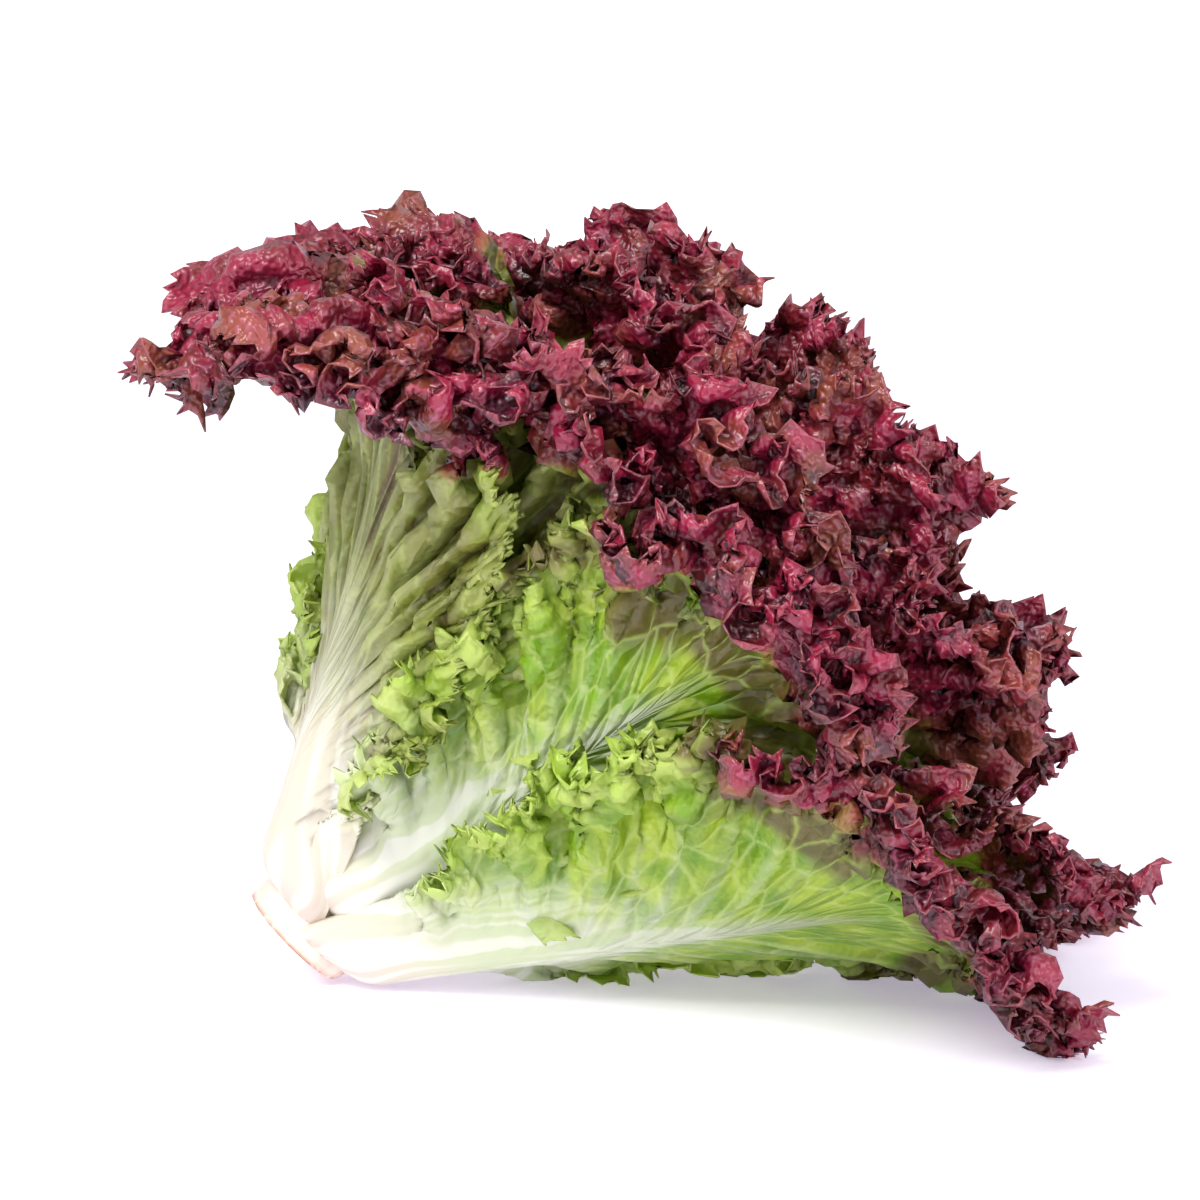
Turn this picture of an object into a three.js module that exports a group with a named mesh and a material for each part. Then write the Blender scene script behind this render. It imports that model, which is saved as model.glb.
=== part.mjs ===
// A lollo rosso lettuce: a short cut stem with loose frilled leaves set round it in a spiral.
// The head is cut at the stem and lies on its side, on the plane z = 0, with its crown up and to +X.
// Each leaf is one closed solid: a fleshy rib at the stem, a thin blade, and a thicker wavy band round
// the far margin that stands for the depth of the frill.
import * as THREE from "three";
import { mergeVertices } from "three/addons/utils/BufferGeometryUtils.js";

// Driving dimensions, in millimetres and degrees.
const LEAF_COUNT = 24;
const GOLDEN_ANGLE = 137.5;      // turn from each leaf to the next one up the stem
const FIRST_LEAF_AT = 142;       // outermost leaf's direction round the axis: 0 is up, 90 is towards -Y
const AXIS_LIFT = 45;            // how far the head's axis points above the surface it lies on
const FOOT_LIFT = 1.2;           // how far the outer leaves' feet hold the stem off that surface
const STEM_LENGTH = 60;
const STEM_CUT_RADIUS = 13;
const STEM_TIP_RADIUS = 2.5;
const STEM_SIDES = 28;
const FOOT_CLEARANCE = 1.9;      // between the stem and the middle of a leaf's foot

const FIRST_FOOT = 2;            // outermost leaf's foot, above the cut
const LAST_FOOT = 53;            // innermost leaf's foot
const HEAD_REACH = 200;          // from the cut to the leaves' far ends, along the leaf
const UPPER_SHORTFALL = 9;       // how much shorter the outer leaves of the upper side are
const WIDEST_LEAF = 130;
const NARROWEST_LEAF = 54;
const FOOT_WRAP = 43;            // how far a leaf's foot reaches round the stem, to each side

const WIDEST_OPENING = 43;       // angle between the outermost leaf and the axis
const NARROWEST_OPENING = 8;     // the same at the heart
const SIDE_FLATTENING = 0.16;    // how much less the head opens towards -Y and +Y
const UPPER_FLATTENING = 0.2;    // how much less it opens straight up
const FOOT_OPENING = 0.8;        // share of its opening that a leaf has at the foot
const FOOT_BEND = 30;            // length over which it gains the rest
const CURL_OUT = 50;             // how far the outermost leaf's far end rolls back
const CURL_OVER = 135;           // how much further it rolls on the upper side, where nothing holds it
const DROOP = 16;                // how much further it rolls on the lower side, down to the surface
const CURL_IN = 14;              // how far a heart leaf's far end rolls in
const CURL_FROM = 0.5;           // share of the length where the roll starts
const STRAY = { 2: -19.5, 3: 16, 5: -11, 7: 27.5 };   // how far these leaves lie off the spiral
const BREADTH = { 0: 1.12, 2: 0.74, 5: 0.72, 7: 0.9 };   // how broad these are, as a share of the rule
const OVERLONG = { 2: 1.06 };    // how long this is, as a share of the rule

// How thick the outermost leaf is. A leaf nearer the heart is thinner, down to HEART_SHARE of this.
const BLADE_THICKNESS = 1.3;
const RIB_THICKNESS = 3.2;       // at the foot, on the outer face
const RIB_HALF_WIDTH = 5;
const FRILL_THICKNESS = 1.1;     // on top of the blade's
const FRILL_WAVE = 1.7;          // how far the frill stands to each side
const FRILL_FROM = 0.25;         // share of the length where the sides' frill starts
const FRILL_FULL = 0.6;          // and where it is full
const FAR_END_FROM = 0.8;        // share of the length where the far end's frill starts
const HEART_SHARE = 0.3;
const WIDEST_AT = 0.74;          // share of the length where the blade is widest
const BLADE_FROM = 0.1;          // share of the length where the blade starts to widen
const LAST_SHARE = 0.975;        // share of the length where the plate ends

// How the leaves share out between the head's three rings, as the last rank in the ring.
const OUTER_RING = 0.45;
const MIDDLE_RING = 0.8;

// How finely the surfaces are cut.
const LAYER_STEPS = 24;          // steps along a layer's profile
const OUTER_CELLS = [11, 8];     // cells along and across a leaf of the outer half
const INNER_CELLS = [8, 8];
const STEM_STEPS = 8;
const NORMAL_STEP = 0.5;         // distance over which a layer's normal is taken

const radians = THREE.MathUtils.degToRad;
const lerp = THREE.MathUtils.lerp;
const smooth = THREE.MathUtils.smoothstep;

// The head's own axes: along the stem, up across it, and towards -Y.
const axis = new THREE.Vector3(Math.cos(radians(AXIS_LIFT)), 0, Math.sin(radians(AXIS_LIFT)));
const upward = new THREE.Vector3(-Math.sin(radians(AXIS_LIFT)), 0, Math.cos(radians(AXIS_LIFT)));
const frontward = new THREE.Vector3(0, -1, 0);
const cutCentre = new THREE.Vector3(0, 0, STEM_CUT_RADIUS * Math.cos(radians(AXIS_LIFT)) + FOOT_LIFT);

// The stem's radius at a height above the cut: it narrows slowly, then rounds over at the growing tip.
function stemRadius(height) {
  return lerp(STEM_CUT_RADIUS, STEM_TIP_RADIUS, Math.min(1, height / STEM_LENGTH) ** 1.6);
}

// How long a layer is, from its foot to the far edge, in a direction round the head.
function layerLength(rank, foot, direction) {
  const upper = Math.max(0, Math.cos(direction)) ** 2;
  return HEAD_REACH - UPPER_SHORTFALL * upper * (1 - rank ** 2) - foot;
}

// What sets each leaf apart. rank is 0 for the outermost leaf and 1 for the innermost.
function leafPlan(index) {
  const rank = index / (LEAF_COUNT - 1);
  const foot = lerp(FIRST_FOOT, LAST_FOOT, rank ** 1.15);
  const direction = radians(FIRST_LEAF_AT + GOLDEN_ANGLE * index + (STRAY[index] ?? 0));
  return {
    rank,
    foot,
    direction,
    length: layerLength(rank, foot, direction) * (OVERLONG[index] ?? 1),
    width: lerp(WIDEST_LEAF, NARROWEST_LEAF, rank ** 1.5) * (BREADTH[index] ?? 1),
    fullness: lerp(1, HEART_SHARE, rank),
    opening: lerp(WIDEST_OPENING, NARROWEST_OPENING, 0.2 * rank + 0.8 * rank ** 2.2),
    curl: lerp(CURL_OUT, -CURL_IN, rank ** 0.8),
    curlOver: CURL_OVER * (1 - rank ** 2),
    droop: DROOP * (1 - rank),
  };
}

// The angle between the leaf and the axis, at a distance along it, in a direction round the head.
function leanAt(plan, along, direction) {
  const upper = Math.max(0, Math.cos(direction)) ** 4;
  const flattening = SIDE_FLATTENING * Math.sin(direction) ** 2 + UPPER_FLATTENING * upper;
  const opening = plan.opening * (1 - flattening);
  const bend = lerp(FOOT_OPENING, 1, smooth(along, 0, FOOT_BEND));
  const share = along / layerLength(plan.rank, plan.foot, direction);
  const free = (1 + Math.cos(direction)) / 2;
  const down = Math.max(0, -Math.cos(direction));
  const curl = plan.curl + plan.curlOver * free ** 6 + plan.droop * down ** 2;
  const roll = curl * smooth(share, CURL_FROM, 1) ** 2;
  return radians(opening * bend + roll);
}

// Walks from the stem along the leaf's layer and returns the height above the cut and the radius.
function layerProfile(plan, along, direction) {
  const step = along / LAYER_STEPS;
  let height = plan.foot;
  let radius = stemRadius(plan.foot) + FOOT_CLEARANCE;
  for (let count = 0; count < LAYER_STEPS; count += 1) {
    const lean = leanAt(plan, step * (count + 0.5), direction);
    height += step * Math.cos(lean);
    radius += step * Math.sin(lean);
  }
  return { height, radius };
}

// A point of the leaf's middle surface, at a distance along the leaf and across it.
function layerPoint(plan, along, across) {
  const own = layerProfile(plan, along, plan.direction);
  const direction = plan.direction + across / own.radius;
  const { height, radius } = layerProfile(plan, along, direction);
  return cutCentre
    .clone()
    .addScaledVector(axis, height)
    .addScaledVector(upward, radius * Math.cos(direction))
    .addScaledVector(frontward, radius * Math.sin(direction));
}

// The unit normal there, pointing away from the head's axis.
function outwardNormal(plan, along, across) {
  const here = layerPoint(plan, along, across);
  const onward = layerPoint(plan, along + NORMAL_STEP, across).sub(here);
  const sideways = layerPoint(plan, along, across + NORMAL_STEP).sub(here);
  return sideways.cross(onward).normalize();
}

// Half the leaf's width at a share of its length: a clasping foot, a widening blade, a round far end.
function halfWidth(plan, share) {
  const foot = radians(FOOT_WRAP) * stemRadius(plan.foot);
  const widest = plan.width / 2;
  if (share < WIDEST_AT) return lerp(foot, widest, smooth(share, BLADE_FROM, WIDEST_AT) ** 1.2);
  return widest * Math.sqrt(1 - ((share - WIDEST_AT) / (1 - WIDEST_AT)) ** 2);
}

// Presses a point up onto the surface that the head lies on.
function pressed(point, lowest) {
  point.z = Math.max(point.z, lowest);
  return point;
}

// The leaf as a closed plate: an inner and an outer sheet of the same grid, joined round the rim.
function leafGeometry(plan, cellsAlong, cellsAcross) {
  const inner = [];
  const outer = [];
  for (let row = 0; row <= cellsAlong; row += 1) {
    const share = LAST_SHARE * Math.sin(((row / cellsAlong) ** 0.9 * Math.PI) / 2);
    for (let column = 0; column <= cellsAcross; column += 1) {
      const side = (2 * column) / cellsAcross - 1;
      const along = share * plan.length;
      const across = side * halfWidth(plan, share);
      const normal = outwardNormal(plan, along, across);
      const nearMargin = Math.max(Math.abs(side) ** 3, smooth(share, FAR_END_FROM, LAST_SHARE));
      const margin = nearMargin * smooth(share, FRILL_FROM, FRILL_FULL);
      const wave = plan.fullness * margin * FRILL_WAVE * Math.sin(Math.PI * (row + column + 0.5));
      const middle = layerPoint(plan, along, across).addScaledVector(normal, wave);
      const half = (plan.fullness * (BLADE_THICKNESS + margin * FRILL_THICKNESS)) / 2;
      const ribHere = (1 - share) ** 1.4 * Math.exp(-((across / RIB_HALF_WIDTH) ** 2));
      const rib = RIB_THICKNESS * (1 - plan.rank) * ribHere;
      inner.push(pressed(middle.clone().addScaledVector(normal, -half), 2 * half));
      outer.push(pressed(middle.clone().addScaledVector(normal, half + rib), 0));
    }
  }
  return closedPlate(inner, outer, cellsAlong, cellsAcross);
}

// Joins two sheets of (rows + 1) x (columns + 1) points into one closed mesh that faces outwards.
function closedPlate(inner, outer, rows, columns) {
  const points = [...inner, ...outer];
  const at = (sheet, row, column) => sheet * inner.length + row * (columns + 1) + column;
  const faces = [];
  const quad = (a, b, c, d) => faces.push(a, b, c, a, c, d);
  for (let row = 0; row < rows; row += 1) {
    for (let column = 0; column < columns; column += 1) {
      quad(at(1, row, column), at(1, row, column + 1), at(1, row + 1, column + 1), at(1, row + 1, column));
      quad(at(0, row, column), at(0, row + 1, column), at(0, row + 1, column + 1), at(0, row, column + 1));
    }
  }
  for (let row = 0; row < rows; row += 1) {
    quad(at(1, row, 0), at(1, row + 1, 0), at(0, row + 1, 0), at(0, row, 0));
    quad(at(1, row + 1, columns), at(1, row, columns), at(0, row, columns), at(0, row + 1, columns));
  }
  for (let column = 0; column < columns; column += 1) {
    quad(at(1, 0, column + 1), at(1, 0, column), at(0, 0, column), at(0, 0, column + 1));
    quad(at(1, rows, column), at(1, rows, column + 1), at(0, rows, column + 1), at(0, rows, column));
  }
  const geometry = new THREE.BufferGeometry().setFromPoints(points);
  geometry.setIndex(faces);
  geometry.computeVertexNormals();
  return geometry;
}

// The stem: a tapered solid of revolution, flat at the cut and rounded at the growing tip.
function stemGeometry() {
  const profile = [new THREE.Vector2(0, 0)];
  for (let step = 0; step <= STEM_STEPS; step += 1) {
    const height = (STEM_LENGTH * step) / STEM_STEPS;
    profile.push(new THREE.Vector2(stemRadius(height), height));
  }
  profile.push(new THREE.Vector2(0, STEM_LENGTH + STEM_TIP_RADIUS));
  const lathe = new THREE.LatheGeometry(profile, STEM_SIDES);
  lathe.deleteAttribute("normal");
  lathe.deleteAttribute("uv");
  const merged = mergeVertices(lathe, 1e-3);
  merged.computeVertexNormals();
  return merged;
}

// Which ring of the head the leaf is in, and its number from the outside.
function leafName(plan, index) {
  const ring = plan.rank < OUTER_RING ? "outer" : plan.rank < MIDDLE_RING ? "middle" : "heart";
  return `${ring}_leaf_${String(index + 1).padStart(2, "0")}`;
}

function material(color, roughness) {
  return new THREE.MeshStandardMaterial({ color, roughness, metalness: 0 });
}

const stemMaterial = material(0xe6dcc8, 0.5);
const outerMaterial = material(0x7a2438, 0.45);
const heartMaterial = material(0x9dbb4a, 0.45);

function buildHead() {
  const head = new THREE.Group();
  const stem = new THREE.Mesh(stemGeometry(), stemMaterial);
  stem.name = "cut_stem";
  stem.quaternion.setFromUnitVectors(new THREE.Vector3(0, 1, 0), axis);
  stem.position.copy(cutCentre);
  head.add(stem);
  for (let index = 0; index < LEAF_COUNT; index += 1) {
    const plan = leafPlan(index);
    const cells = plan.rank < 0.5 ? OUTER_CELLS : INNER_CELLS;
    const leafMaterial = plan.rank < MIDDLE_RING ? outerMaterial : heartMaterial;
    const leaf = new THREE.Mesh(leafGeometry(plan, ...cells), leafMaterial);
    leaf.name = leafName(plan, index);
    head.add(leaf);
  }
  return head;
}

// The origin is under the middle of the head's box, on the surface that it lies on.
const head = buildHead();
head.updateMatrixWorld(true);
const box = new THREE.Box3().setFromObject(head, true);
const middle = box.getCenter(new THREE.Vector3());
head.position.set(-middle.x, -middle.y, -box.min.z);

const part = new THREE.Group();
part.add(head);
export default part;
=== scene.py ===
"""Lollo rosso lettuce: the looks of a cut head that lies on its side.

Laid out as a Blender add-on and run as a script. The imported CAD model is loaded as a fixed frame, and
every leaf is worked out again on the same nested layers, with its frill, ribs and thin shell.
"""

import math
from dataclasses import dataclass

import bpy
import numpy as np
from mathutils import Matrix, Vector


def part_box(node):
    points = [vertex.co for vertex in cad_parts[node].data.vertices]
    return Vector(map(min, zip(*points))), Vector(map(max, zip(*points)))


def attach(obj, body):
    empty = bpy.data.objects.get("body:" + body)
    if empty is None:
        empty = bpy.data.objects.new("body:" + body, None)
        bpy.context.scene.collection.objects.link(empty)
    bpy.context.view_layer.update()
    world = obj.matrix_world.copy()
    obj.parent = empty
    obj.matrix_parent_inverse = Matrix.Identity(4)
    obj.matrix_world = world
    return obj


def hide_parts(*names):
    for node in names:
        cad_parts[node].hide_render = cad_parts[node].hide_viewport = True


bl_info = {
    "name": "Lollo Rosso Lettuce",
    "version": (1, 0, 0),
    "blender": (4, 5, 0),
    "location": "View3D > Sidebar > Lettuce",
    "description": "Builds a frilled red lettuce head around its CAD frame",
    "category": "Add Mesh",
}

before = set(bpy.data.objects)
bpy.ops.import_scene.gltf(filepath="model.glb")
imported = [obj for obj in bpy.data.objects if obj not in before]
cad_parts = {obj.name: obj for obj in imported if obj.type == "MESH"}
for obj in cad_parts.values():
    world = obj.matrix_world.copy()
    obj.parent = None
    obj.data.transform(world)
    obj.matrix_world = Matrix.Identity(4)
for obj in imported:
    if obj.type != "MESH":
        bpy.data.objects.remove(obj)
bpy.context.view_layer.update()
STEM_LOW, STEM_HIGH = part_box("cut_stem")

MM = 0.001

# The head's plan, in metres and degrees. It is the CAD model's, but for the length of one leaf and for
# how soon a leaf widens from its foot.
LEAF_COUNT = 24
GOLDEN_ANGLE = 137.5
FIRST_LEAF_AT = 142
AXIS_LIFT = math.radians(45)
STEM_LENGTH = 60 * MM
STEM_CUT_RADIUS = 13 * MM
STEM_TIP_RADIUS = 2.5 * MM
FOOT_CLEARANCE = 1.9 * MM
FIRST_FOOT = 2 * MM
LAST_FOOT = 53 * MM
HEAD_REACH = 200 * MM
UPPER_SHORTFALL = 9 * MM
WIDEST_LEAF = 130 * MM
NARROWEST_LEAF = 54 * MM
FOOT_WRAP = 78
WIDEST_OPENING = 43
NARROWEST_OPENING = 8
SIDE_FLATTENING = 0.16
UPPER_FLATTENING = 0.2
FOOT_OPENING = 0.8
FOOT_BEND = 30 * MM
CURL_OUT = 50
CURL_OVER = 135
DROOP = 16
CURL_IN = 14
CURL_FROM = 0.5
STRAY = {2: -19.5, 3: 16, 5: -11, 7: 27.5}       # degrees that a leaf is turned from the spiral
BREADTH = {0: 1.12, 2: 0.74, 5: 0.72, 7: 0.9}    # its width and length, as shares of the rule's
OVERLONG = {2: 1.1}
WIDENS_FROM = 0.02               # shares of a leaf's length
WIDEST_AT = 0.74
LAYER_STEPS = 24

# What only the looks have.
REACH_SHARE = 0.985              # the middle surface stops short, to leave room for the frill
FOOT_ROOT = 1.2 * MM             # how deep a leaf's foot ends inside the stem
FOOT_SINK = 9 * MM               # length over which it gets there
RED_FROM = 0.147                 # distances from the cut where the margin turns red
RED_FULL = 0.163
SUN_SHIFT = 11 * MM              # and how much sooner it does so on the upper leaves
BLOTCH_FROM = 0.11               # where the purple stains start, and where they do on the upper leaves
UPPER_BLOTCH_FROM = 0.05
WHITE_FULL = 0.055               # where the white base starts to fade, and where it ends
WHITE_TO = 0.135
LOWER_FRILL = 7 * MM             # how much further the ruffles of the lower margins stand out
LOWER_FRILL_AT = 0.38            # where they do so most, and how far that spreads along the leaf
LOWER_FRILL_SPREAD = 0.15
FLOOR_CUSHION = 2.5 * MM         # what comes lower than this is pressed into a layer on the floor
RIB_AT_FOOT = 13 * MM            # widths of the rib's bell curve, and how far it stands out
RIB_AT_END = 2.4 * MM
RIB_THICKNESS = 5.4 * MM
VEIN_SPACING = 13 * MM
FOLD_SPACING = 21 * MM           # of the folds along the veins, and of the smaller ones between them
BRANCH_SPACING = 8 * MM

# The mesh of a leaf: four bands of rows from the rib to the margin, each with its own column spacing.
BAND_ENDS = (0.0, 0.5, 0.76, 0.98, 1.0)
STRIDES = (8, 4, 2, 1)
MOST_ROWS = (8, 14, 16, 2)       # in the outermost leaf, and in the innermost one
FEWEST_ROWS = (6, 9, 11, 2)
MOST_COLUMNS = 84                # in sixteens, round the whole margin
FEWEST_COLUMNS = 26
MARGIN_SAMPLES = 600

# The head's own axes: along the stem, up across it, and towards -Y.
AXIS = np.array([math.cos(AXIS_LIFT), 0, math.sin(AXIS_LIFT)])
UPWARD = np.array([-math.sin(AXIS_LIFT), 0, math.cos(AXIS_LIFT)])
FRONTWARD = np.array([0.0, -1.0, 0.0])


def cut_centre():
    """The middle of the stem's cut face: the stem's lowest X is its cut rim's upper edge."""
    return np.array([
        STEM_LOW[0] + STEM_CUT_RADIUS * math.sin(AXIS_LIFT),
        (STEM_LOW[1] + STEM_HIGH[1]) / 2,
        STEM_LOW[2] + STEM_CUT_RADIUS * math.cos(AXIS_LIFT),
    ])


CUT_CENTRE = cut_centre()


# ---------------------------------------------------------------- small maths


def lerp(start, end, share):
    return start + (end - start) * share


def smooth(value, low, high):
    """Goes from 0 at low to 1 at high along an S curve."""
    x = np.clip((value - low) / (high - low), 0, 1)
    return x * x * (3 - 2 * x)


def noise(x, y, seed):
    """Smooth noise from -1 to 1: random values on a lattice of unit cells, blended with S curves."""
    table = np.random.default_rng(seed).uniform(-1, 1, (64, 64))
    x, y = np.broadcast_arrays(x, y)
    column, row = np.floor(x).astype(int), np.floor(y).astype(int)
    across, up = x - column, y - row
    across, up = across * across * (3 - 2 * across), up * up * (3 - 2 * up)
    at = lambda i, j: table[(row + j) % 64, (column + i) % 64]
    return lerp(lerp(at(0, 0), at(1, 0), across), lerp(at(0, 1), at(1, 1), across), up)


def unit(vectors):
    """The vectors scaled to length 1."""
    return vectors / np.maximum(np.linalg.norm(vectors, axis=-1, keepdims=True), 1e-12)


# ---------------------------------------------------------------- the plan of a leaf


@dataclass
class LeafPlan:
    """What sets one leaf apart. rank is 0 for the outermost leaf and 1 for the innermost."""

    index: int
    rank: float
    foot: float
    direction: float
    length: float
    width: float
    opening: float
    curl: float
    curl_over: float
    droop: float
    sun: float       # how olive and how deeply pleated the leaf is, 0 to 1
    ahead: float     # how much sooner its margin turns red


def stem_radius(height):
    """Narrows slowly from the cut, then rounds over at the growing tip."""
    return lerp(STEM_CUT_RADIUS, STEM_TIP_RADIUS, np.clip(height / STEM_LENGTH, 0, 1) ** 1.6)


def layer_length(rank, foot, direction):
    """How long a layer is, from its foot to the far edge, in a direction round the head."""
    upper = np.maximum(0, np.cos(direction)) ** 2
    return HEAD_REACH - UPPER_SHORTFALL * upper * (1 - rank**2) - foot


def leaf_plan(index):
    """One leaf's place in the spiral, and its sizes, which shrink from the outermost leaf inwards."""
    rank = index / (LEAF_COUNT - 1)
    foot = lerp(FIRST_FOOT, LAST_FOOT, rank**1.15)
    direction = math.radians(FIRST_LEAF_AT + GOLDEN_ANGLE * index + STRAY.get(index, 0))
    sun = float(smooth(math.cos(direction), 0.2, 0.7))
    return LeafPlan(
        index=index,
        rank=rank,
        foot=foot,
        direction=direction,
        length=float(layer_length(rank, foot, direction)) * OVERLONG.get(index, 1),
        width=lerp(WIDEST_LEAF, NARROWEST_LEAF, rank**1.5) * BREADTH.get(index, 1),
        opening=lerp(WIDEST_OPENING, NARROWEST_OPENING, 0.2 * rank + 0.8 * rank**2.2),
        curl=lerp(CURL_OUT, -CURL_IN, rank**0.8),
        curl_over=CURL_OVER * (1 - rank**2),
        droop=DROOP * (1 - rank),
        sun=sun,
        ahead=SUN_SHIFT * (sun * float(1 - smooth(rank, 0.1, 0.3))),
    )


def lean_at(plan, along, direction):
    """The angle between the leaf and the axis: its opening, gained over the foot's bend, and its roll."""
    upper = np.maximum(0, np.cos(direction)) ** 4
    flattening = SIDE_FLATTENING * np.sin(direction) ** 2 + UPPER_FLATTENING * upper
    opening = plan.opening * (1 - flattening)
    bend = lerp(FOOT_OPENING, 1, smooth(along, 0, FOOT_BEND))
    share = along / layer_length(plan.rank, plan.foot, direction)
    free = (1 + np.cos(direction)) / 2
    down = np.maximum(0, -np.cos(direction))
    curl = plan.curl + plan.curl_over * free**6 + plan.droop * down**2
    return np.radians(opening * bend + curl * smooth(share, CURL_FROM, 1) ** 2)


def layer_profile(plan, along, direction):
    """Walks from the stem along the layer: height and radius are sums of the lean's cosine and sine."""
    along, direction = np.broadcast_arrays(along, direction)
    step = along / LAYER_STEPS
    height = np.full(along.shape, plan.foot)
    radius = np.full(along.shape, float(stem_radius(plan.foot)) + FOOT_CLEARANCE)
    for count in range(LAYER_STEPS):
        lean = lean_at(plan, step * (count + 0.5), direction)
        height = height + step * np.cos(lean)
        radius = radius + step * np.sin(lean)
    return height, radius


def layer_point(plan, along, across):
    """A point of the leaf's middle surface, at a distance along the leaf and across it."""
    _, own_radius = layer_profile(plan, along, plan.direction)
    direction = plan.direction + across / own_radius
    height, radius = layer_profile(plan, along, direction)
    return (
        CUT_CENTRE
        + AXIS * height[..., None]
        + UPWARD * (radius * np.cos(direction))[..., None]
        + FRONTWARD * (radius * np.sin(direction))[..., None]
    )


def half_width(plan, share):
    """Half the width: a foot that clasps the stem, an S curve up to the widest place, an elliptic end."""
    foot = math.radians(FOOT_WRAP) * float(stem_radius(plan.foot))
    widest = plan.width / 2
    blade = lerp(foot, widest, smooth(share, WIDENS_FROM, WIDEST_AT))
    end = widest * np.sqrt(np.clip(1 - ((share - WIDEST_AT) / (1 - WIDEST_AT)) ** 2, 0, 1))
    return np.where(share < WIDEST_AT, blade, end)


# ---------------------------------------------------------------- a leaf's surface


def column_count(rank):
    """Columns round a leaf's margin: the outer leaves have most, because their frill is in sight."""
    return 16 * round(lerp(MOST_COLUMNS, FEWEST_COLUMNS, rank**0.6))


def row_places(rank):
    """Where the rows lie between the rib, 0, and the margin, 1, and each row's column spacing."""
    places, strides = [0.0], [STRIDES[0]]
    for band, stride in enumerate(STRIDES):
        count = round(lerp(MOST_ROWS[band], FEWEST_ROWS[band], rank))
        places.extend(np.linspace(BAND_ENDS[band], BAND_ENDS[band + 1], count + 1)[1:])
        strides.extend([stride] * count)
    return np.array(places), strides


def margin_outline(plan, columns):
    """Places columns evenly round the margin, closer where the frill is deep.

    Gives each column's share of the leaf's length, half width with its sign, and distance from the far
    end along the margin.
    """
    walk = np.linspace(0, 1, MARGIN_SAMPLES)
    share = 1 - (1 - walk) ** 2
    bell = np.exp(-(((share - LOWER_FRILL_AT) / LOWER_FRILL_SPREAD) ** 2))
    half = half_width(plan, share) + LOWER_FRILL * (1 - plan.rank) * bell
    steps = np.hypot(np.diff(share * plan.length), np.diff(half))
    travelled = np.concatenate([[0], np.cumsum(steps)])
    middle = (share[1:] + share[:-1]) / 2
    weight = np.concatenate([[0], np.cumsum(steps * lerp(0.5, 1, smooth(middle, 0.15, 0.5)))])
    side = np.linspace(-1, 1, columns + 1)
    wanted = (1 - np.abs(side)) * weight[-1]
    column_share = np.interp(wanted, weight, share)
    column_half = np.interp(wanted, weight, half) * np.sign(side)
    from_end = (travelled[-1] - np.interp(wanted, weight, travelled)) * np.sign(side)
    return column_share, column_half, from_end


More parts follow.
